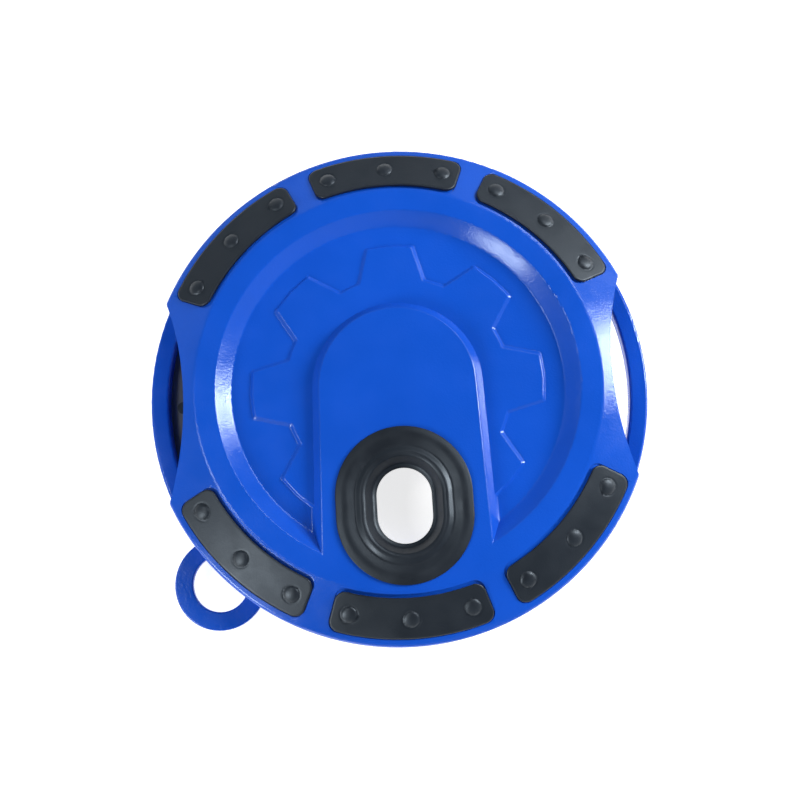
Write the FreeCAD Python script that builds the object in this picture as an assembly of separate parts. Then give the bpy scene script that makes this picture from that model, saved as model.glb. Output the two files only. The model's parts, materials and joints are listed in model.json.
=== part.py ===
import FreeCAD, Part
import math
import os

from FreeCAD import Vector

# A hand-wound storage reel for cord or line, in millimetres.
# The reel lies on its feet: +Z points up through the front cover, the finger hole is towards -Y and
# the two finger notches are at +X and -X.  The origin is the bottom centre, on the spin axis.

# ---- driving sizes -------------------------------------------------------------------------------
# front cover, measured from the rim inwards
rim_r = 100.0
skirt_width = 20.6
ledge_width = 8.2
cone_width = 5.8
wall = 2.4
skirt_drop = 8.0
rim_lip = 3.0
recess_depth = 5.1
notch_half_deg = 24.0
notch_depth = 16.3
notch_corner_r = 2.5
rim_round = 2.2
ledge_round = 4.0
cone_top_round = 1.4
cone_foot_round = 1.6
rim_inner_round = 1.0
ledge_inner_round = 2.0
cone_inner_round = 0.6

# relief on the recess floor; a side's steps are shares of its run outwards and of its rise
gear_teeth = 8
gear_margin = 7.2
tooth_depth = 13.2
tooth_tip_half_deg = 8.5
tooth_root_half_deg = 16.0
gear_rise = 1.0
gear_slope_run = 1.6
tooth_corner_r = 1.2
gear_crown_r = 21.6
gear_steps = (
    (1.25, -0.6), (1.0, 0.0), (0.9, 0.04), (0.8, 0.12), (0.44, 0.72), (0.33, 0.86), (0.22, 0.95),
    (0.11, 0.99), (0.0, 1.0))

# arched panel around the finger hole
arch_margin = 3.9
arch_flare_deg = 1.5
arch_slope_run = 4.6
arch_steps = (
    (1.12, -0.6), (1.0, 0.0), (0.92, 0.02), (0.84, 0.07), (0.76, 0.15), (0.24, 0.84), (0.16, 0.92),
    (0.08, 0.98), (0.0, 1.0))
cavity_top_inset = 1.4

# rubber funnel in the finger hole, measured outwards from the hole and up from the ledge
hole_r = 10.6
hole_straight = 3.9
funnel_depth = 5.2
grommet_band = 15.6
grommet_neck_band = 9.4
grommet_lip_band = 2.0
grommet_lip_height = 1.5
grommet_edge_gap = 2.4
band_edge_height = 0.8
band_crest_offset = 12.4
band_crest_height = 1.7
band_crest_round = 6.0
valley_offset = 8.0
valley_height = 0.3
valley_round = 1.4
ridge_offset = 4.8
ridge_height = 2.3
ridge_round = 1.9
throat_offset = 1.5
throat_rise = 1.2
throat_round = 2.2
funnel_lip = 0.7
funnel_wall_low = 3.8

# clamp plate under the funnel, measured from the funnel's own edges
retainer_margin = 0.8
retainer_floor = 1.6
retainer_overlap = 2.4
retainer_screw_deg = (40.0, 140.0, 220.0, 320.0)

# rubber pads on the skirt
pad_angles_deg = (45.0, 90.0, 135.0, 225.0, 270.0, 315.0)
pad_half_deg = 19.4
pad_inset_in = 1.1
pad_inset_out = 3.1
pad_proud_in = 1.3
pad_proud_out = 0.5
pad_sink = 0.6
pad_gap = 0.25
pad_corner_r = 4.0
stud_r = 2.9
stud_rise = 1.1
stud_step_deg = 15.1
stud_offset = 0.9
peg_r = 1.6

# stack from the ground up
foot_height = 4.0
foot_r = 8.0
foot_stem_r = 2.5
foot_taper = 1.0
foot_margin = 1.0
carrier_thickness = 3.5
ring_height = 6.0
ring_band = 7.2
rim_gap = 5.8
ring_overhang = 0.2
ring_top_round = 1.2
ring_bottom_round = 0.8

# hang loop on the back ring
loop_r = 18.2
loop_band = 7.2
loop_thickness = 3.0
loop_angle_deg = 224.0
loop_reach = 3.0
loop_round = 0.7

# carrier
arm_angles_deg = (60.0, 180.0, 300.0)
arm_half_width = 7.0
sector_half_deg = 26.0
sector_width = 21.0
sector_corner_r = 3.0
arm_rib_width = 2.0
arm_rib_height = 2.0
arm_rib_offset = 4.5
boss_wall = 5.0
boss_rise = 5.5
boss_round = 1.2
pocket_depth = 5.0
screw_sector_deg = 18.0

# drum
drum_wall = 3.0
drum_web = 2.0
drum_hub_wall = 7.0
drum_ribs = 5
drum_rib_width = 2.0
drum_overlap = 0.6
drum_screw_inset = 10.4
drum_screw_deg = (54.0, 126.0, 198.0, 342.0)
cord_slot_width = 8.0
cord_slot_height = 6.0
cord_slot_drop = 3.0
cord_slot_deg = 144.0
cleat_depth = 5.0
cleat_margin = 2.0
cleat_groove_margin = 1.0
cleat_groove_floor = 1.5

# shaft and its stack
shaft_r = 5.0
shaft_flange = 5.0
shaft_flange_height = 2.0
bush_wall = 2.5
bush_flange = 2.5
bush_flange_height = 1.5
washer_height = 1.0
spring_height = 0.8
spring_steel = 0.4
spring_rim_gap = 0.4
washer_rim = 4.0
axle_screw_r = 2.5
axle_screw_length = 9.0
axle_screw_head_r = 5.0
axle_screw_head_height = 2.0
cap_lip = 0.8
cap_overlap = 1.5
cap_plug = 0.6
cap_plug_wall = 1.2

# small screws
small_screw_r = 1.5
small_head_r = 2.8
small_head_height = 1.5
small_screw_bite = 1.6
ring_screw_bite = 4.0
head_round_share = 0.4
head_slot_width_share = 0.18
head_slot_depth_share = 0.45

# shared details: the rounding of small edges, and how far a cutter or a joined piece runs past a face
edge_round = 0.5
run_past = 1.0

# ---- clearances ----------------------------------------------------------------------------------
running_gap = 0.05
thrust_gap = 0.10
seat_gap = 0.10
drum_gap = 1.0
finger_gap = 2.4
screw_well_gap = 0.4
pocket_gap = 2.0

# ---- sizes that follow ---------------------------------------------------------------------------
ledge_r = rim_r - skirt_width
cone_r = ledge_r - ledge_width
floor_r = cone_r - cone_width
gear_r = floor_r - gear_margin
arch_end_r = ledge_r - ledge_width / 2
stud_ring_r = ledge_r + (skirt_width + pad_inset_in - pad_inset_out) / 2 + stud_offset
notch_chord = rim_r * math.sin(math.radians(notch_half_deg))
notch_sag = rim_r * math.cos(math.radians(notch_half_deg)) - (rim_r - notch_depth)
notch_arc_r = (notch_chord ** 2 + notch_sag ** 2) / (2 * notch_sag)
notch_centre_x = rim_r - notch_depth + notch_arc_r

carrier_z = foot_height
ring_z = carrier_z + carrier_thickness
edge_z = ring_z + ring_height + rim_gap
rim_z = edge_z + rim_lip
ledge_z = rim_z + skirt_drop
floor_z = ledge_z - recess_depth
floor_under_z = floor_z - wall
panel_under_z = ledge_z - wall

drum_r = floor_r + drum_overlap
drum_bottom_z = ring_z + drum_gap
web_z = floor_under_z - drum_web

ring_outer_r = rim_r + ring_overhang
ring_inner_r = ring_outer_r - ring_band
sector_inner_r = ring_outer_r - sector_width
loop_centre_r = ring_outer_r + loop_reach
foot_ring_r = sector_inner_r + foot_r + foot_margin
screw_ring_r = ring_outer_r - ring_band / 2

grommet_r = hole_r + grommet_band
arch_r = grommet_r + arch_margin
neck_r = hole_r + grommet_neck_band
lip_r = neck_r + grommet_lip_band
grommet_y = -(ledge_r - grommet_edge_gap - grommet_r - hole_straight)
retainer_r = grommet_r + retainer_margin
retainer_drop = grommet_lip_height + retainer_floor
retainer_screw_r = (lip_r + retainer_r) / 2

shaft_flange_r = shaft_r + shaft_flange
stack_washer_r = shaft_r + washer_rim
drum_hub_r = shaft_r + drum_hub_wall
pocket_r = stack_washer_r + pocket_gap
boss_r = pocket_r + boss_wall
boss_z = ring_z + boss_rise
pocket_z = carrier_z + pocket_depth
bush_bore_r = shaft_r + running_gap
bush_r = shaft_r + bush_wall
bush_flange_r = bush_r + bush_flange
bush_top_z = boss_z + bush_flange_height
drum_hub_z = bush_top_z + thrust_gap + washer_height
spring_z = pocket_z - thrust_gap - spring_height
washer_z = spring_z - washer_height
shaft_end_z = spring_z
shaft_top_z = min(floor_under_z + shaft_flange_height, panel_under_z - retainer_drop - seat_gap)
drum_screw_r = floor_r - drum_screw_inset


# ---- helpers -------------------------------------------------------------------------------------
def in_profile(u, v):
    """A point of a section: u is the radius and v the height."""
    return Vector(u, 0, v)


def flat_at(z):
    """Makes the placing function of an outline that lies flat at height z."""
    return lambda u, v: Vector(u, v, z)


def rounded_wire(corners, place):
    """Closed wire through (u, v, radius) corners, each corner rounded with a tangent arc."""
    stops = []
    count = len(corners)
    for i, (u, v, radius) in enumerate(corners):
        here = Vector(u, v, 0)
        back = Vector(corners[i - 1][0], corners[i - 1][1], 0) - here
        ahead = Vector(corners[(i + 1) % count][0], corners[(i + 1) % count][1], 0) - here
        back.normalize()
        ahead.normalize()
        half = back.getAngle(ahead) / 2
        if radius <= 0 or abs(half - math.pi / 2) < 1e-4:
            stops.append((here, here, here))
            continue
        reach = radius / math.tan(half)
        bisector = back + ahead
        bisector.normalize()
        centre = here + bisector * (radius / math.sin(half))
        middle = centre - bisector * radius
        stops.append((here + back * reach, middle, here + ahead * reach))
    edges = []
    for i, (first, middle, last) in enumerate(stops):
        if first.distanceToPoint(last) > 1e-6:
            arc = Part.Arc(place(first.x, first.y), place(middle.x, middle.y), place(last.x, last.y))
            edges.append(arc.toShape())
        following = stops[(i + 1) % count][0]
        edges.append(Part.makeLine(place(last.x, last.y), place(following.x, following.y)))
    return Part.Wire(edges)


def turned(corners):
    """Solid of revolution about Z from (radius, height, rounding) corners."""
    face = Part.Face(rounded_wire(corners, in_profile))
    return face.revolve(Vector(0, 0, 0), Vector(0, 0, 1), 360)


def ring_of(outer_r, inner_r, z, height):
    """Plain flat ring."""
    return Part.makeCylinder(outer_r, height, Vector(0, 0, z)).cut(
        Part.makeCylinder(inner_r, height, Vector(0, 0, z)))


def at_angle(shape, degrees):
    """The shape turned about Z."""
    copy = shape.copy()
    copy.rotate(Vector(0, 0, 0), Vector(0, 0, 1), degrees)
    return copy


def polar(radius, degrees, z=0.0):
    """Point on a circle about Z."""
    angle = math.radians(degrees)
    return Vector(radius * math.cos(angle), radius * math.sin(angle), z)


def stadium(radius, straight, y, z, height):
    """Upright stadium prism: two half rounds that lie 2 * straight apart along Y."""
    points = [
        Vector(radius, y - straight, z),
        Vector(radius, y + straight, z),
        Vector(0, y + straight + radius, z),
        Vector(-radius, y + straight, z),
        Vector(-radius, y - straight, z),
        Vector(0, y - straight - radius, z),
    ]
    edges = [
        Part.makeLine(points[0], points[1]),
        Part.Arc(points[1], points[2], points[3]).toShape(),
        Part.makeLine(points[3], points[4]),
        Part.Arc(points[4], points[5], points[0]).toShape(),
    ]
    return Part.Face(Part.Wire(edges)).extrude(Vector(0, 0, height))


def stadium_swept(corners, straight, y):
    """Section carried round a stadium: two half turns joined by two straight runs."""
    face = Part.Face(rounded_wire(corners, in_profile))
    axis = Vector(0, 0, 1)
    pieces = []
    for side, start_deg in ((1, 0), (-1, 180)):
        section = at_angle(face, start_deg)
        half = section.revolve(Vector(0, 0, 0), axis, 180)
        half.translate(Vector(0, y + side * straight, 0))
        run = section.copy()
        run.translate(Vector(0, y - straight, 0))
        pieces.append(half)
        pieces.append(run.extrude(Vector(0, 2 * straight, 0)))
    return pieces[0].multiFuse(pieces[1:]).removeSplitter()


def sector(inner_r, outer_r, half_deg, z, height, corner_r):
    """Ring sector about the X axis with rounded upright corners."""
    a = polar(inner_r, -half_deg, z)
    b = polar(outer_r, -half_deg, z)
    c = polar(outer_r, half_deg, z)
    d = polar(inner_r, half_deg, z)
    edges = [
        Part.makeLine(a, b),
        Part.Arc(b, Vector(outer_r, 0, z), c).toShape(),
        Part.makeLine(c, d),
        Part.Arc(d, Vector(inner_r, 0, z), a).toShape(),
    ]
    solid = Part.Face(Part.Wire(edges)).extrude(Vector(0, 0, height))
    upright = [e for e in solid.Edges if abs(e.BoundBox.ZLength - height) < 1e-6]
    return solid.makeFillet(corner_r, upright)


def screw(at, head_r, head_height, thread_r, thread_length):
    """Screw that points up, with its head below the point it is placed at."""
    head = turned([
        (0, -head_height, 0), (head_r, -head_height, head_round_share * head_height),
        (head_r, 0, 0), (0, 0, 0)])
    slot_width = head_slot_width_share * head_r
    slot = Part.makeBox(2 * head_r, slot_width, head_slot_depth_share * head_height)
    slot.translate(Vector(-head_r, -slot_width / 2, -head_height))
    body = head.cut(slot).fuse(Part.makeCylinder(thread_r, thread_length))
    body.translate(at)
    return body


def group(shapes):
    """Separate solids kept together in one node."""
    return Part.makeCompound(shapes)


# ---- front cover ---------------------------------------------------------------------------------
def skirt_height(radius, offset):
    """Height of the sloping skirt at a radius, raised by offset."""
    return ledge_z - (radius - ledge_r) * skirt_drop / skirt_width + offset


def cover_plan(shrink):
    """Upright prism of the cover's outline with its two notches."""
    prism = Part.makeCylinder(rim_r - shrink, ledge_z)
    for side in (1, -1):
        centre = Vector(side * notch_centre_x, 0, 0)
        prism = prism.cut(Part.makeCylinder(notch_arc_r + shrink, ledge_z, centre))
    outer = [e for e in prism.Edges if abs(e.BoundBox.ZLength - ledge_z) < 1e-6
             and e.BoundBox.XLength < 1e-6 and e.BoundBox.YLength < 1e-6
             and abs(e.BoundBox.YMin) > run_past]
    return prism.makeFillet(notch_corner_r, outer)


def cover_outside():
    """Everything below the cover's outer surface, before the relief is added."""
    return turned([
        (0, edge_z, 0), (rim_r, edge_z, 0), (rim_r, rim_z, rim_round), (ledge_r, ledge_z, ledge_round),
        (cone_r, ledge_z, cone_top_round), (floor_r, floor_z, cone_foot_round), (0, floor_z, 0)])


def cover_inside():
    """Everything below the cover's inner surface."""
    low = edge_z - run_past
    return turned([
        (0, low, 0), (rim_r - wall, low, 0), (rim_r - wall, rim_z - wall, rim_inner_round),
        (ledge_r, panel_under_z, ledge_inner_round),
        (cone_r + wall / 2, panel_under_z, cone_inner_round),
        (floor_r + wall / 2, floor_under_z, cone_inner_round), (0, floor_under_z, 0)])


def arch_wire(grow, end_r, z):
    """Outline of the arched panel: a round top, two flaring legs and an end along the ledge."""
    radius = arch_r + grow
    flare = math.radians(arch_flare_deg)
    start = Vector(radius * math.cos(flare), radius * math.sin(flare), z)
    down = Vector(math.sin(flare), -math.cos(flare), 0)
    along = start.x * down.x + start.y * down.y
    reach = -along + math.sqrt(along ** 2 - radius ** 2 + end_r ** 2)
    foot = start + down * reach
    left_foot = Vector(-foot.x, foot.y, z)
    left_start = Vector(-start.x, start.y, z)
    return Part.Wire([
        Part.makeLine(foot, start),
        Part.Arc(start, Vector(0, radius, z), left_start).toShape(),
        Part.makeLine(left_start, left_foot),
        Part.Arc(left_foot, Vector(0, -end_r, z), foot).toShape(),
    ])


def arch_panel():
    """Panel that rises from the recess floor to the ledge, with a rounded foot and edge."""
    wires = [arch_wire(arch_slope_run * run, arch_end_r, floor_z + recess_depth * rise)
             for run, rise in arch_steps]
    return Part.makeLoft(wires, True, True)


def arch_cavity():
    """Hollow under the arched panel, one wall thickness inside it."""
    end_r = arch_end_r - wall / 2
    low = arch_wire(arch_slope_run - wall, end_r, floor_under_z - run_past)
    high = arch_wire(-cavity_top_inset, end_r, panel_under_z)
    return Part.makeLoft([low, high], True, True)


def gear_wire(grow, z):
    """Outline of the gear relief: tapering teeth with rounded corners."""
    tip_r = gear_r - gear_slope_run + grow
    root_r = gear_r - tooth_depth - gear_slope_run + grow
    grow_tip_deg = math.degrees(grow / tip_r)
    grow_root_deg = math.degrees(grow / root_r)
    pitch = 360.0 / gear_teeth
    corners = []
    for tooth in range(gear_teeth):
        middle = 90.0 + tooth * pitch
        tip_deg = tooth_tip_half_deg + grow_tip_deg
        root_deg = tooth_root_half_deg + grow_root_deg
        for radius, degrees, rounding in (
                (root_r, middle - root_deg, tooth_corner_r),
                (tip_r, middle - tip_deg, tooth_corner_r),
                (tip_r, middle, gear_crown_r),
                (tip_r, middle + tip_deg, tooth_corner_r),
                (root_r, middle + root_deg, tooth_corner_r),
                (root_r, middle + pitch / 2, gear_crown_r)):
            point = polar(radius, degrees)
            corners.append((point.x, point.y, rounding))
    return rounded_wire(corners, flat_at(z))


def gear_relief():
    """Raised gear shape with sloping sides."""
    wires = [gear_wire(gear_slope_run * run, floor_z + gear_rise * rise) for run, rise in gear_steps]
    return Part.makeLoft(wires, True, True)


def retainer_screw_points(z):
    """Places of the clamp plate's screws, round the finger hole."""
    points = []
    for degrees in retainer_screw_deg:
        point = polar(retainer_screw_r, degrees, z)
        point.y += grommet_y + math.copysign(hole_straight, point.y)
        points.append(point)
    return points


def front_cover():
    """Blue moulded shell: recess, relief, arched panel, skirt, pad pockets and holes."""
    outside = cover_outside().multiFuse([gear_relief(), arch_panel()]).common(cover_plan(0))
    inside = cover_inside().fuse(arch_cavity()).common(cover_plan(wall))
    cover = outside.cut(inside)
    cuts = [stadium(neck_r, hole_straight, grommet_y, floor_z, 2 * recess_depth)]
    for degrees in pad_angles_deg:
        cuts.append(at_angle(pad_bed(), degrees))
        for step in (-1, 0, 1):
            peg = Part.makeCylinder(peg_r, 4 * wall, Vector(stud_ring_r, 0, rim_z - wall))
            cuts.append(at_angle(peg, degrees + step * stud_step_deg))
    for degrees in drum_screw_deg:
        cuts.append(Part.makeCylinder(small_screw_r, small_screw_bite,
                                      polar(drum_screw_r, degrees, floor_under_z)))
    for point in retainer_screw_points(panel_under_z):
        cuts.append(Part.makeCylinder(small_screw_r, small_screw_bite, point))
    return cover.cut(cuts).removeSplitter()


# ---- rubber pads ---------------------------------------------------------------------------------
def pad_band(top_in, top_out, bottom, inner_r, outer_r):
    """Turned band along the skirt between two radii."""
    return turned([
        (inner_r, skirt_height(inner_r, bottom), 0), (outer_r, skirt_height(outer_r, bottom), 0),
        (outer_r, skirt_height(outer_r, top_out), 0), (inner_r, skirt_height(inner_r, top_in), 0)])


def pad_bed():
    """Pocket that a pad lies in, with a small gap all round."""
    inner_r = ledge_r + pad_inset_in - pad_gap
    outer_r = rim_r - pad_inset_out + pad_gap
    gap_deg = math.degrees(pad_gap / inner_r)
    plan = sector(inner_r, outer_r, pad_half_deg + gap_deg, edge_z, 2 * ledge_z - edge_z, pad_corner_r)
    return plan.common(pad_band(wall, wall, -pad_sink, inner_r - run_past, outer_r + run_past))


def bumper_pad(degrees):
    """Rubber pad with three domed studs and the pegs that hold it in the skirt."""
    inner_r = ledge_r + pad_inset_in
    outer_r = rim_r - pad_inset_out
    plan = sector(inner_r, outer_r, pad_half_deg, edge_z, 2 * ledge_z - edge_z, pad_corner_r)
    band = pad_band(pad_proud_in, pad_proud_out, -pad_sink, inner_r - run_past, outer_r + run_past)
    pad = plan.common(band)
    proud = (pad_proud_in + pad_proud_out) / 2
    top_z = skirt_height(stud_ring_r, proud)
    tilt = math.degrees(math.atan2(skirt_drop, skirt_width))
    dome_r = (stud_r ** 2 + stud_rise ** 2) / (2 * stud_rise)
    peg_length = proud + wall
    studs = []
    for step in (-1, 0, 1):
        dome = Part.makeSphere(dome_r, Vector(0, 0, stud_rise - dome_r)).common(
            Part.makeCylinder(stud_r, stud_rise + pad_sink, Vector(0, 0, -pad_sink)))
        dome.rotate(Vector(0, 0, 0), Vector(0, 1, 0), tilt)
        dome.translate(Vector(stud_ring_r, 0, top_z))
        peg = Part.makeCylinder(peg_r, peg_length, Vector(stud_ring_r, 0, top_z - peg_length))
        studs.append(at_angle(dome.fuse(peg), step * stud_step_deg))
    return at_angle(pad.multiFuse(studs).removeSplitter(), degrees)


# ---- finger hole ---------------------------------------------------------------------------------
def finger_grommet():
    """Rubber funnel: outer band, groove, rolled ridge, funnel, thin lip and a lower holding lip."""
    z = ledge_z
    low = z - wall - grommet_lip_height
    tip = z - funnel_depth
    lip_round = edge_round / 2
    return stadium_swept([
        (neck_r, z, 0), (grommet_r, z, 0), (grommet_r, z + band_edge_height, edge_round),
        (hole_r + band_crest_offset, z + band_crest_height, band_crest_round),
        (hole_r + valley_offset, z + valley_height, valley_round),
        (hole_r + ridge_offset, z + ridge_height, ridge_round),
        (hole_r + throat_offset, tip + throat_rise, throat_round),
        (hole_r, tip + funnel_lip, lip_round), (hole_r, tip, lip_round),
        (hole_r + throat_offset, tip, edge_round), (hole_r + funnel_wall_low, low, edge_round),
        (lip_r, low, 0), (lip_r, z - wall, 0), (neck_r, z - wall, 0)], hole_straight, grommet_y)


def grommet_retainer():
    """Clamp plate that holds the funnel's lower lip against the arched panel."""
    z = panel_under_z
    low = z - retainer_drop
    step = z - grommet_lip_height
    inner_r = neck_r - retainer_overlap
    plate = stadium_swept([
        (retainer_r, z, 0), (retainer_r, low, edge_round), (inner_r, low, edge_round), (inner_r, step, 0),
        (lip_r + seat_gap, step, 0), (lip_r + seat_gap, z, 0)], hole_straight, grommet_y)
    holes = [Part.makeCylinder(small_screw_r, retainer_drop, p) for p in retainer_screw_points(low)]
    return plate.cut(holes)


def grommet_screws():
    """Four screws of the clamp plate."""
    length = retainer_drop + small_screw_bite
    return group([screw(p, small_head_r, small_head_height, small_screw_r, length)
                  for p in retainer_screw_points(panel_under_z - retainer_drop)])


# ---- drum ----------------------------------------------------------------------------------------
def cord_drum():
    """Hollow drum that the cord winds on, with a web, a hub tube and ribs."""
    height = floor_under_z - drum_bottom_z
    shell = ring_of(drum_r, drum_r - drum_wall, drum_bottom_z, height)
    web = Part.makeCylinder(drum_r - drum_wall / 2, drum_web, Vector(0, 0, web_z))
    hub = Part.makeCylinder(drum_hub_r, floor_under_z - drum_hub_z, Vector(0, 0, drum_hub_z))
    ribs = []
    for i in range(drum_ribs):
        rib = Part.makeBox(drum_r - drum_wall / 2, drum_rib_width, floor_under_z - drum_hub_z)
        rib.translate(Vector(0, -drum_rib_width / 2, drum_hub_z))
        ribs.append(at_angle(rib, 90.0 + i * 360.0 / drum_ribs))
    body = shell.multiFuse([web, hub] + ribs)
    way_r = hole_r + finger_gap
    cuts = [
        Part.makeCylinder(shaft_r, ledge_z),
        stadium(way_r, hole_straight, grommet_y, drum_hub_z - run_past, ledge_z).common(
            Part.makeCylinder(drum_r - drum_wall, 2 * ledge_z)),
        at_angle(Part.makeBox(3 * drum_wall, cord_slot_width, cord_slot_height,
                              Vector(drum_r - 2 * drum_wall, -cord_slot_width / 2,
                                     drum_hub_z - cord_slot_drop)),
                 cord_slot_deg),
    ]
    for degrees in drum_screw_deg:
        cuts.append(Part.makeCylinder(small_screw_r, drum_web, polar(drum_screw_r, degrees, web_z)))
    for point in retainer_screw_points(web_z):
        cuts.append(Part.makeCylinder(small_head_r + screw_well_gap, 2 * drum_web, point))
    return body.cut(cuts).removeSplitter()


def drum_screws():
    """Four screws that hold the drum's web to the front cover."""
    length = drum_web + small_screw_bite
    return group([screw(polar(drum_screw_r, degrees, web_z), small_head_r, small_head_height,
                        small_screw_r, length) for degrees in drum_screw_deg])


def cord_cleat():
    """Block with a V groove behind the drum's slot, which grips the cord's inner end."""
    width = cord_slot_width + 2 * cleat_margin
    height = cord_slot_height
    back = math.sqrt((drum_r - drum_wall) ** 2 - (width / 2) ** 2)
    block = Part.makeBox(cleat_depth, width, height,
                         Vector(back - cleat_depth, -width / 2, web_z - height))
    half = cord_slot_width / 2 - cleat_groove_margin
    groove = Part.Face(Part.makePolygon([
        Vector(0, -half, 0), Vector(0, half, 0), Vector(0, 0, height - cleat_groove_floor),
        Vector(0, -half, 0)])).extrude(Vector(3 * cleat_depth, 0, 0))
    groove.translate(Vector(back - 2 * cleat_depth, 0, web_z - height))
    return at_angle(block.cut(groove), cord_slot_deg)


# ---- axle and its stack --------------------------------------------------------------------------
def axle():
    """Steel stub axle with a flange on the drum's web and a tapped lower end."""
    body = turned([
        (0, shaft_end_z, 0), (shaft_r, shaft_end_z, edge_round), (shaft_r, floor_under_z, 0),
        (shaft_flange_r, floor_under_z, 0), (shaft_flange_r, shaft_top_z, edge_round),
        (0, shaft_top_z, 0)])
    return body.cut(Part.makeCylinder(axle_screw_r, axle_screw_length, Vector(0, 0, shaft_end_z)))


def hub_bush():
    """Flanged plain bearing, pressed into the carrier's boss."""
    return turned([
        (bush_bore_r, pocket_z, 0), (bush_r, pocket_z, 0), (bush_r, boss_z, 0),
        (bush_flange_r, boss_z, 0), (bush_flange_r, bush_top_z, edge_round),
        (bush_bore_r, bush_top_z, 0)])


def front_washer():
    """Thrust washer under the drum's hub."""
    return ring_of(stack_washer_r, shaft_r, bush_top_z + thrust_gap, washer_height)


def disc_spring():
    """Shallow cone spring that gives the reel its drag."""
    inner_r = shaft_r + running_gap
    outer_r = stack_washer_r - spring_rim_gap
    top = spring_z + spring_height
    return turned([
        (inner_r, top - spring_steel, 0), (outer_r, spring_z, 0),
        (outer_r, spring_z + spring_steel, 0), (inner_r, top, 0)])


def rear_washer():
    """Washer between the spring and the screw's head."""
    return ring_of(stack_washer_r, axle_screw_r, washer_z, washer_height)


def axle_screw():
    """Screw that clamps the washer to the axle's end."""
    length = washer_height + axle_screw_length
    return screw(Vector(0, 0, washer_z), axle_screw_head_r, axle_screw_head_height,
                 axle_screw_r, length)


def hub_cap():
    """Snap cap that closes the pocket under the hub."""
    low = carrier_z - cap_lip
    plug_z = carrier_z + cap_plug
    return turned([
        (0, low, 0), (pocket_r + cap_overlap, low, edge_round), (pocket_r + cap_overlap, carrier_z, 0),
        (pocket_r, carrier_z, 0), (pocket_r, plug_z, 0), (pocket_r - cap_plug_wall, plug_z, 0),
        (pocket_r - cap_plug_wall, carrier_z, 0), (0, carrier_z, 0)])


# ---- back ring and carrier -----------------------------------------------------------------------
def ring_screw_angles():
    """Two screws on each of the carrier's rim plates."""
    return [arm + side * screw_sector_deg for arm in arm_angles_deg for side in (-1, 1)]


def back_ring():
    """Blue ring with the hang loop moulded on."""
    ring_top_z = ring_z + ring_height
    ring = turned([
        (ring_inner_r, ring_z, ring_bottom_round), (ring_outer_r, ring_z, ring_bottom_round),
        (ring_outer_r, ring_top_z, ring_top_round), (ring_inner_r, ring_top_z, ring_top_round)])
    loop = ring_of(loop_r, loop_r - loop_band, 0, loop_thickness)
    loop = loop.makeFillet(loop_round, [e for e in loop.Edges if len(e.Vertexes) == 1])
    loop.translate(polar(loop_centre_r, loop_angle_deg, ring_z))
    keep_out = Part.makeCylinder(ring_inner_r, 4 * loop_thickness, Vector(0, 0, ring_z - loop_thickness))
    body = ring.fuse(loop.cut(keep_out))
    holes = [Part.makeCylinder(small_screw_r, ring_screw_bite, polar(screw_ring_r, degrees, ring_z))
             for degrees in ring_screw_angles()]
    return body.cut(holes).removeSplitter()


def rear_carrier():
    """Black three-armed carrier: hub boss, arms with ribs and wide rim plates."""
    boss = turned([
        (0, carrier_z, 0), (boss_r, carrier_z, 0), (boss_r, boss_z, boss_round), (0, boss_z, 0)])
    pieces = []
    for degrees in arm_angles_deg:
        arm = Part.makeBox(foot_ring_r, 2 * arm_half_width, carrier_thickness,
                           Vector(0, -arm_half_width, carrier_z))
        plate = sector(sector_inner_r, ring_outer_r, sector_half_deg, carrier_z, carrier_thickness,
                       sector_corner_r)
        pieces.append(at_angle(arm, degrees))
        pieces.append(at_angle(plate, degrees))
        for side in (-1, 1):
            rib = Part.makeBox(foot_ring_r - foot_r - boss_r, arm_rib_width, arm_rib_height + run_past)
            rib.translate(Vector(boss_r - run_past, side * arm_rib_offset - arm_rib_width / 2,
                                 carrier_z - arm_rib_height))
            pieces.append(at_angle(rib, degrees))
    body = boss.multiFuse(pieces)
    cuts = [Part.makeCylinder(bush_r, ledge_z), Part.makeCylinder(pocket_r, pocket_z)]
    for degrees in arm_angles_deg:
        cuts.append(Part.makeCylinder(foot_stem_r, ledge_z, polar(foot_ring_r, degrees)))
    for degrees in ring_screw_angles():
        cuts.append(Part.makeCylinder(small_screw_r, ledge_z, polar(screw_ring_r, degrees)))
    return body.cut(cuts).removeSplitter()


def ring_screws():
    """Six screws that hold the ring on the carrier."""
    length = carrier_thickness + ring_screw_bite
    return group([screw(polar(screw_ring_r, degrees, carrier_z), small_head_r, small_head_height,
                        small_screw_r, length) for degrees in ring_screw_angles()])


def rear_foot(degrees):
    """Rubber foot with a stem through the carrier's rim plate."""
    foot = turned([
        (0, 0, 0), (foot_r - foot_taper, 0, edge_round), (foot_r, foot_height, 0),
        (foot_stem_r, foot_height, 0),
        (foot_stem_r, ring_z, 0), (0, ring_z, 0)])
    foot.translate(polar(foot_ring_r, degrees))
    return foot


# ---- write the parts -----------------------------------------------------------------------------
nodes = {
    "front_cover": front_cover(),
    "finger_grommet": finger_grommet(),
    "grommet_retainer": grommet_retainer(),
    "grommet_screws": grommet_screws(),
    "cord_drum": cord_drum(),
    "drum_screws": drum_screws(),
    "cord_cleat": cord_cleat(),
    "axle": axle(),
    "front_washer": front_washer(),
    "disc_spring": disc_spring(),
    "rear_washer": rear_washer(),
    "axle_screw": axle_screw(),
    "hub_bush": hub_bush(),
    "hub_cap": hub_cap(),
    "back_ring": back_ring(),
    "rear_carrier": rear_carrier(),
    "ring_screws": ring_screws(),
}
for number, degrees in enumerate(pad_angles_deg, start=1):
    nodes["bumper_pad_%d" % number] = bumper_pad(degrees)
for number, degrees in enumerate(arm_angles_deg, start=1):
    nodes["rear_foot_%d" % number] = rear_foot(degrees)

os.makedirs("parts", exist_ok=True)
for name, shape in nodes.items():
    shape.exportStep("parts/%s.step" % name)
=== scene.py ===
import json
import math

import bmesh
import bpy
from mathutils import Matrix, Vector


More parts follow.
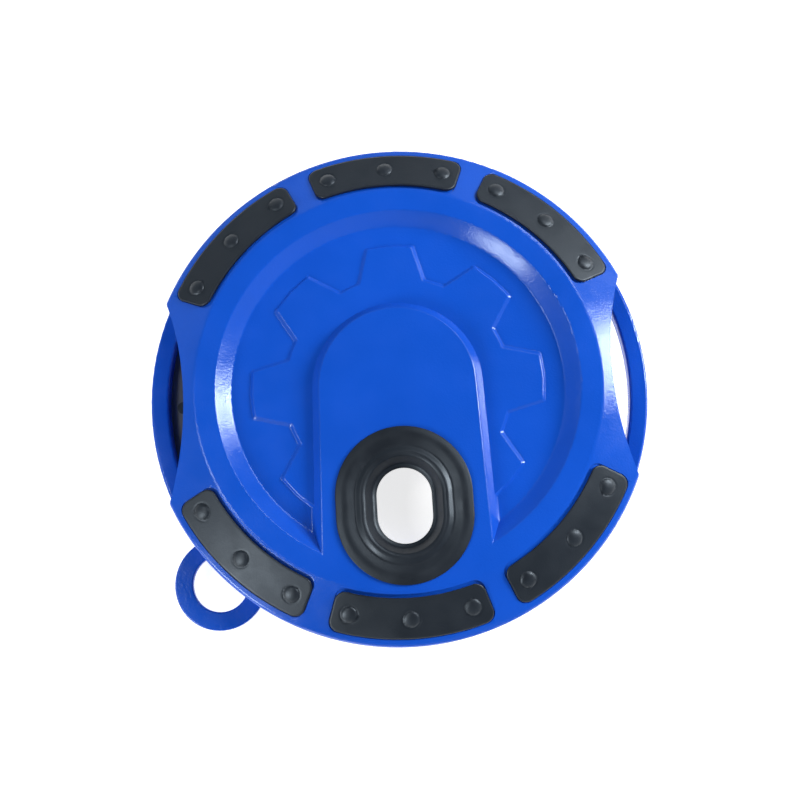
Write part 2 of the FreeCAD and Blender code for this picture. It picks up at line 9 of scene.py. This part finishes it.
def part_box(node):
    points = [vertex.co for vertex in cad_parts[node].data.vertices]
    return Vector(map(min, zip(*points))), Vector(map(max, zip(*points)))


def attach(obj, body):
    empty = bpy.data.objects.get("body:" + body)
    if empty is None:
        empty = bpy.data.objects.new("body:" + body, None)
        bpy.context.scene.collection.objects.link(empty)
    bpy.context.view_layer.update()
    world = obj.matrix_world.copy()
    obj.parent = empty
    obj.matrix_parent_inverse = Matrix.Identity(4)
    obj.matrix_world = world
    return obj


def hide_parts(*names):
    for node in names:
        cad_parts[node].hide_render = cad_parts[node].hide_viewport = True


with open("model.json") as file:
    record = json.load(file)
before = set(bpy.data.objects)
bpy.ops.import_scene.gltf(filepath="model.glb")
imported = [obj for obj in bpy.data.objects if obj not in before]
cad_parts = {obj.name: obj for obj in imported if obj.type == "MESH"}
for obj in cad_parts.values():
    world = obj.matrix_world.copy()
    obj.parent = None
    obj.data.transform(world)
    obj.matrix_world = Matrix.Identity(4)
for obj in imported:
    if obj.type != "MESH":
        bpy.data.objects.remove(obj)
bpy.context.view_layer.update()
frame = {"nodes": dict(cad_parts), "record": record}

NODES = frame["nodes"]
COVER_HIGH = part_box("front_cover")[1]
LEDGE_Z = COVER_HIGH.z
REEL_R = COVER_HIGH.y

# camera: seen from above and a little from the front, the reel turned a little to the left
CAMERA_DISTANCE = 0.4127
CAMERA_TILT = math.radians(11.41)
CAMERA_SIDE = math.radians(1.33)
REEL_ROLL = math.radians(3.42)
CAMERA_LENS = 47.905
SENSOR = 36.0
SHIFT = (0.0035, -0.0208)

# colours, linear
BLUE = (0.006, 0.080, 0.54)
RUBBER = (0.011, 0.014, 0.020)
BLACK = (0.13, 0.14, 0.16)
STEEL = (0.56, 0.57, 0.58)
BEARING = (0.70, 0.68, 0.60)
FLOOR = (0.86, 0.86, 0.86)
ROOM = (0.78, 0.90, 1.0)

# floor: half its side in metres, its gloss and its own glow, which keeps it close to white
FLOOR_HALF_SIDE = 4.0
FLOOR_ROUGH = 0.8
FLOOR_GLOW = 0.75

# room light: height of a direction above the horizon (0 level, 1 overhead) and strength there
ROOM_LEVELS = ((0.0, 0.16), (0.30, 0.18), (0.37, 0.80), (0.50, 0.80), (0.60, 0.12), (0.92, 0.04))

# surface grain of every moulded material: wide waves go with the fine grain, gloss varies in patches
WIDE_GRAIN_TIMES = 9.0
WIDE_GRAIN_HEIGHT = 2.0
FINE_GRAIN_STRENGTH = 0.6
WIDE_GRAIN_STRENGTH = 0.3
GLOSS_PATCH_SCALE = 90.0

# finish of the CAD meshes: points closer than the first are merged, sharp edges get a small bevel
WELD_GAP = 1e-5
COVER_BEVEL = 0.00045
PIECE_BEVEL = 0.0003
BEVEL_STEPS = 2
BEVEL_FROM_ANGLE = math.radians(50)
FACE_WEIGHT = 100

# skirt and rubber pads, metres and radians
SKIRT_WIDTH = 0.0206
SKIRT_DROP = 0.0080
PAD_ANGLES = (45, 90, 135, 225, 270, 315)
PAD_HALF_ANGLE = math.radians(19.4)
PAD_CORNER_R = 0.004
PAD_EDGE_R = 0.0006
PAD_EDGE_STEPS = 4
PAD_PROUD_IN = 0.0013
PAD_PROUD_OUT = 0.0006
PAD_SINK = 0.0005
PAD_POINTS = 320
PAD_RINGS = 22
UNDERSIDE_LOOPS = 4
MERGE_GAP = 4e-5
SMALLEST = 1e-5
TINY = 1e-9
STUD_RING_R = 0.0896
STUD_ANGLE = math.radians(15.1)
STUD_R = 0.0030
STUD_RISE = 0.0010
STUD_POWER = 1.2
STUD_DIP = 0.00018
STUD_DIP_WIDTH = 0.0008


def camera_frame():
    """Camera matrix in the reel's frame."""
    away = Vector((math.sin(CAMERA_SIDE) * math.cos(CAMERA_TILT), -math.sin(CAMERA_TILT),
                   math.cos(CAMERA_SIDE) * math.cos(CAMERA_TILT))).normalized()
    right = Vector((0, 1, 0)).cross(away).normalized()
    up = away.cross(right)
    turn = Matrix.Rotation(-REEL_ROLL, 4, "Z")
    basis = Matrix((right, up, away)).transposed().to_4x4()
    place = Matrix.Translation(away * CAMERA_DISTANCE)
    return Matrix.Translation((0, 0, LEDGE_Z)) @ turn @ place @ basis


def add_camera():
    data = bpy.data.cameras.new("camera")
    data.lens = CAMERA_LENS
    data.sensor_width = SENSOR
    data.shift_x, data.shift_y = SHIFT
    data.clip_start = 0.01
    camera = bpy.data.objects.new("camera", data)
    bpy.context.scene.collection.objects.link(camera)
    camera.matrix_world = camera_frame()
    bpy.context.scene.camera = camera


def area_light(name, azimuth, elevation, distance, size, power):
    """Soft rectangular lamp aimed at the middle of the reel."""
    data = bpy.data.lights.new(name, "AREA")
    data.shape = "RECTANGLE"
    data.size, data.size_y = size
    data.energy = power
    lamp = bpy.data.objects.new(name, data)
    bpy.context.scene.collection.objects.link(lamp)
    turn, rise = math.radians(azimuth), math.radians(elevation)
    towards = Vector((math.cos(turn) * math.cos(rise), math.sin(turn) * math.cos(rise), math.sin(rise)))
    lamp.location = towards * distance
    lamp.rotation_euler = towards.to_track_quat("Z", "Y").to_euler()


def add_lights():
    """Lamps: azimuth from +X and elevation in degrees, distance and size in metres, power in watts."""
    area_light("key_right", azimuth=16, elevation=27, distance=1.3, size=(0.34, 0.50), power=19)
    area_light("right_high", azimuth=50, elevation=45, distance=1.4, size=(0.55, 0.35), power=4)
    area_light("fill_front_left", azimuth=220, elevation=25, distance=1.3, size=(0.42, 0.38), power=9)
    area_light("front_left_high", azimuth=222, elevation=50, distance=1.4, size=(0.40, 0.25), power=1.2)
    area_light("left_high", azimuth=185, elevation=60, distance=1.4, size=(0.35, 0.35), power=3.5)
    bpy.context.scene.world = studio_world()
    bpy.context.scene.view_settings.view_transform = "Standard"


def studio_world():
    """Dim room with a pale band above the horizon, which the small rounded edges pick up."""
    world = bpy.data.worlds.new("studio")
    world.use_nodes = True
    tree = world.node_tree
    coords = tree.nodes.new("ShaderNodeTexCoord")
    parts = tree.nodes.new("ShaderNodeSeparateXYZ")
    tree.links.new(coords.outputs["Generated"], parts.inputs["Vector"])
    level = tree.nodes.new("ShaderNodeValToRGB")
    stops = level.color_ramp.elements
    stops.remove(stops[1])
    stops[0].color = (*[ROOM_LEVELS[0][1]] * 3, 1)
    for height, strength in ROOM_LEVELS[1:]:
        stops.new(height).color = (strength, strength, strength, 1)
    tree.links.new(parts.outputs["Z"], level.inputs["Fac"])
    background = tree.nodes["Background"]
    background.inputs["Color"].default_value = (*ROOM, 1)
    tree.links.new(level.outputs["Color"], background.inputs["Strength"])
    return world


# ---- materials -----------------------------------------------------------------------------------
def new_material(name):
    material = bpy.data.materials.new(name)
    material.use_nodes = True
    tree = material.node_tree
    return material, tree, tree.nodes["Principled BSDF"]


def noise(tree, scale, detail=4.0, rough=0.55, stretch=(1, 1, 1)):
    """Noise in the object's own metres."""
    coords = tree.nodes.new("ShaderNodeTexCoord")
    mapping = tree.nodes.new("ShaderNodeMapping")
    mapping.inputs["Scale"].default_value = stretch
    texture = tree.nodes.new("ShaderNodeTexNoise")
    texture.inputs["Scale"].default_value = scale
    texture.inputs["Detail"].default_value = detail
    texture.inputs["Roughness"].default_value = rough
    tree.links.new(coords.outputs["Object"], mapping.inputs["Vector"])
    tree.links.new(mapping.outputs["Vector"], texture.inputs["Vector"])
    return texture.outputs["Fac"]


def remap(tree, value, low, high, out_low, out_high):
    node = tree.nodes.new("ShaderNodeMapRange")
    node.inputs["From Min"].default_value = low
    node.inputs["From Max"].default_value = high
    node.inputs["To Min"].default_value = out_low
    node.inputs["To Max"].default_value = out_high
    tree.links.new(value, node.inputs["Value"])
    return node.outputs["Result"]


def mix_colour(tree, factor, first, second):
    node = tree.nodes.new("ShaderNodeMix")
    node.data_type = "RGBA"
    node.inputs["A"].default_value = (*first, 1)
    node.inputs["B"].default_value = (*second, 1)
    tree.links.new(factor, node.inputs["Factor"])
    return node.outputs["Result"]


def bump(tree, height, distance, strength, below=None):
    node = tree.nodes.new("ShaderNodeBump")
    node.inputs["Distance"].default_value = distance
    node.inputs["Strength"].default_value = strength
    tree.links.new(height, node.inputs["Height"])
    if below is not None:
        tree.links.new(below, node.inputs["Normal"])
    return node.outputs["Normal"]


def moulded(name, colour, shade, rough, grain, grain_scale, spread=0.05, drift_scale=22.0,
            stretch=(1, 1, 1), tint=(1, 1, 1), metallic=0.0):
    """Moulded plastic, rubber or metal: slight colour drift, fine grain and uneven gloss."""
    material, tree, shader = new_material(name)
    dark = tuple(c * shade for c in colour)
    drift = remap(tree, noise(tree, drift_scale, 3.0, stretch=stretch), 0.35, 0.65, 0.0, 1.0)
    tree.links.new(mix_colour(tree, drift, dark, colour), shader.inputs["Base Color"])
    patches = noise(tree, GLOSS_PATCH_SCALE, 5.0)
    gloss = remap(tree, patches, 0.3, 0.7, rough - spread, rough + spread)
    tree.links.new(gloss, shader.inputs["Roughness"])
    fine = bump(tree, noise(tree, grain_scale, 2.0), grain, FINE_GRAIN_STRENGTH)
    waves = noise(tree, grain_scale / WIDE_GRAIN_TIMES, 2.0)
    wide = bump(tree, waves, grain * WIDE_GRAIN_HEIGHT, WIDE_GRAIN_STRENGTH, fine)
    tree.links.new(wide, shader.inputs["Normal"])
    shader.inputs["Specular Tint"].default_value = (*tint, 1)
    shader.inputs["Metallic"].default_value = metallic
    return material


def blue_plastic():
    return moulded("blue_plastic", BLUE, shade=0.9, rough=0.20, grain=0.00009, grain_scale=1200.0,
                   spread=0.06, tint=(0.74, 0.88, 1.0))


def black_rubber():
    return moulded("black_rubber", RUBBER, shade=0.7, rough=0.44, grain=0.00005, grain_scale=1800.0,
                   spread=0.09, tint=(0.75, 0.88, 1.0))


def black_plastic():
    return moulded("black_plastic", BLACK, shade=0.7, rough=0.5, grain=0.00006, grain_scale=1500.0,
                   drift_scale=600.0, stretch=(1, 0.06, 1))


def bearing_plastic():
    return moulded("bearing_plastic", BEARING, shade=0.92, rough=0.4, grain=0.00002, grain_scale=2000.0)


def steel():
    return moulded("steel", STEEL, shade=0.85, rough=0.3, grain=0.00001, grain_scale=2500.0,
                   metallic=1.0)


def floor_material():
    material, tree, shader = new_material("floor")
    drift = remap(tree, noise(tree, 3.0, 3.0), 0.3, 0.7, 0.0, 1.0)
    tree.links.new(mix_colour(tree, drift, tuple(c * 0.97 for c in FLOOR), FLOOR),
                   shader.inputs["Base Color"])
    shader.inputs["Roughness"].default_value = FLOOR_ROUGH
    shader.inputs["Emission Color"].default_value = (1, 1, 1, 1)
    shader.inputs["Emission Strength"].default_value = FLOOR_GLOW
    return material


MATERIALS = {
    "blue_plastic": blue_plastic(),
    "black_rubber": black_rubber(),
    "black_plastic": black_plastic(),
    "bearing_plastic": bearing_plastic(),
    "steel": steel(),
}


# ---- pieces --------------------------------------------------------------------------------------
def dress_nodes():
    """Gives each CAD node its material and smooth shading with crisp edges kept."""
    slots = {s["node"]: s["material_slot"] for s in frame["record"]["subparts"]}
    for name, piece in NODES.items():
        piece.data.materials.clear()
        piece.data.materials.append(MATERIALS[slots[name]])
        weld = piece.modifiers.new("weld", "WELD")
        weld.merge_threshold = WELD_GAP
        piece.data.shade_smooth()
        edges = piece.modifiers.new("edges", "BEVEL")
        edges.width = COVER_BEVEL if name == "front_cover" else PIECE_BEVEL
        edges.segments = BEVEL_STEPS
        edges.limit_method = "ANGLE"
        edges.angle_limit = BEVEL_FROM_ANGLE
        normals = piece.modifiers.new("normals", "WEIGHTED_NORMAL")
        normals.weight = FACE_WEIGHT


def skirt_line():
    """Radius and height of a pad's top face at its inner and outer edge, from the pad towards +Y."""
    low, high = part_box("bumper_pad_2")
    inner_r = low.y / math.cos(PAD_HALF_ANGLE)
    outer_r = high.y
    slope = SKIRT_DROP / SKIRT_WIDTH
    ledge_r = REEL_R - SKIRT_WIDTH
    inner_z = LEDGE_Z - (inner_r - ledge_r) * slope
    outer_z = LEDGE_Z - (outer_r - ledge_r) * slope
    return inner_r, outer_r, inner_z, outer_z


def rounded_loop(half_length, half_width, radius, count):
    """Evenly spaced points of a rounded rectangle about the origin."""
    radius = min(radius, half_width)
    straight = (half_length - radius, half_width - radius)
    quarter = math.pi * radius / 2
    runs = [2 * straight[1], quarter, 2 * straight[0], quarter] * 2
    total = sum(runs)
    corners = [(straight[0], straight[1]), (-straight[0], straight[1]),
               (-straight[0], -straight[1]), (straight[0], -straight[1])]
    points = []
    for i in range(count):
        along = total * i / count
        leg = 0
        while along > runs[leg]:
            along -= runs[leg]
            leg += 1
        side = leg // 2
        cx, cy = corners[side]
        start = side * math.pi / 2
        if leg % 2:
            angle = start + along / max(radius, TINY)
            points.append((cx + radius * math.cos(angle), cy + radius * math.sin(angle)))
        else:
            px, py = corners[side - 1]
            share = along / max(runs[leg], TINY)
            points.append((px + (cx - px) * share + radius * math.cos(start),
                           py + (cy - py) * share + radius * math.sin(start)))
    return points


def dome_height(distance):
    """Stud on a pad: a low dome in a faint ring-shaped dip."""
    if distance < STUD_R:
        return STUD_RISE * math.sqrt(max(0.0, 1 - (distance / STUD_R) ** 2)) ** STUD_POWER
    dip = (distance - STUD_R) / STUD_DIP_WIDTH
    return -STUD_DIP * (1 - dip) if dip < 1 else 0.0


def rubber_pad(number, degrees):
    """Pad as one closed skin: loops run from the underside round the edge to the middle line."""
    inner_r, outer_r, inner_z, outer_z = skirt_line()
    middle_r = (inner_r + outer_r) / 2
    half_width = (outer_r - inner_r) / 2
    half_length = PAD_HALF_ANGLE * middle_r
    levels = [(half_width, -PAD_SINK), (half_width / 2, -PAD_SINK), (0.0, -PAD_SINK), (0.0, 0.0)]
    for step in range(PAD_EDGE_STEPS + 1):
        turn = math.pi / 2 * step / PAD_EDGE_STEPS
        levels.append((PAD_EDGE_R * (1 - math.cos(turn)), PAD_EDGE_R * (math.sin(turn) - 1)))
    edge_end = len(levels)
    for step in range(1, PAD_RINGS + 1):
        levels.append((PAD_EDGE_R + (half_width - PAD_EDGE_R) * step / PAD_RINGS, 0.0))
    vertices = []
    for index, (inset, rise) in enumerate(levels):
        loop = rounded_loop(half_length - inset, max(half_width - inset, SMALLEST),
                            max(PAD_CORNER_R - inset, SMALLEST), PAD_POINTS)
        for along, across in loop:
            radius = middle_r + across
            angle = along / middle_r
            share = (radius - inner_r) / (outer_r - inner_r)
            z = inner_z + (outer_z - inner_z) * share + rise
            if index >= UNDERSIDE_LOOPS:
                z += PAD_PROUD_IN + (PAD_PROUD_OUT - PAD_PROUD_IN) * share
            if index >= edge_end:
                for stud in (-1, 0, 1):
                    away = math.hypot(along - stud * STUD_ANGLE * middle_r, radius - STUD_RING_R)
                    z += dome_height(away)
            vertices.append((radius * math.sin(angle), radius * math.cos(angle), z))
    faces = []
    for ring in range(len(levels) - 1):
        outside, inside = ring * PAD_POINTS, (ring + 1) * PAD_POINTS
        for i in range(PAD_POINTS):
            j = (i + 1) % PAD_POINTS
            faces.append((outside + i, outside + j, inside + j, inside + i))
    mesh = bpy.data.meshes.new("pad_%d" % number)
    mesh.from_pydata(vertices, [], faces)
    clean = bmesh.new()
    clean.from_mesh(mesh)
    bmesh.ops.remove_doubles(clean, verts=clean.verts, dist=MERGE_GAP)
    bmesh.ops.recalc_face_normals(clean, faces=clean.faces)
    bmesh.ops.rotate(clean, verts=clean.verts, cent=(0, 0, 0),
                     matrix=Matrix.Rotation(math.radians(degrees - 90), 3, "Z"))
    clean.to_mesh(mesh)
    clean.free()
    mesh.shade_smooth()
    mesh.materials.append(MATERIALS["black_rubber"])
    pad = bpy.data.objects.new("rubber_pad_%d" % number, mesh)
    bpy.context.scene.collection.objects.link(pad)
    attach(pad, "disc")
    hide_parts("bumper_pad_%d" % number)


def add_floor():
    mesh = bpy.data.meshes.new("floor")
    side = FLOOR_HALF_SIDE
    mesh.from_pydata([(-side, -side, 0), (side, -side, 0), (side, side, 0), (-side, side, 0)], [],
                     [(0, 1, 2, 3)])
    mesh.materials.append(floor_material())
    floor = bpy.data.objects.new("floor", mesh)
    bpy.context.scene.collection.objects.link(floor)


add_camera()
add_lights()
dress_nodes()
for number, degrees in enumerate(PAD_ANGLES, start=1):
    rubber_pad(number, degrees)
add_floor()
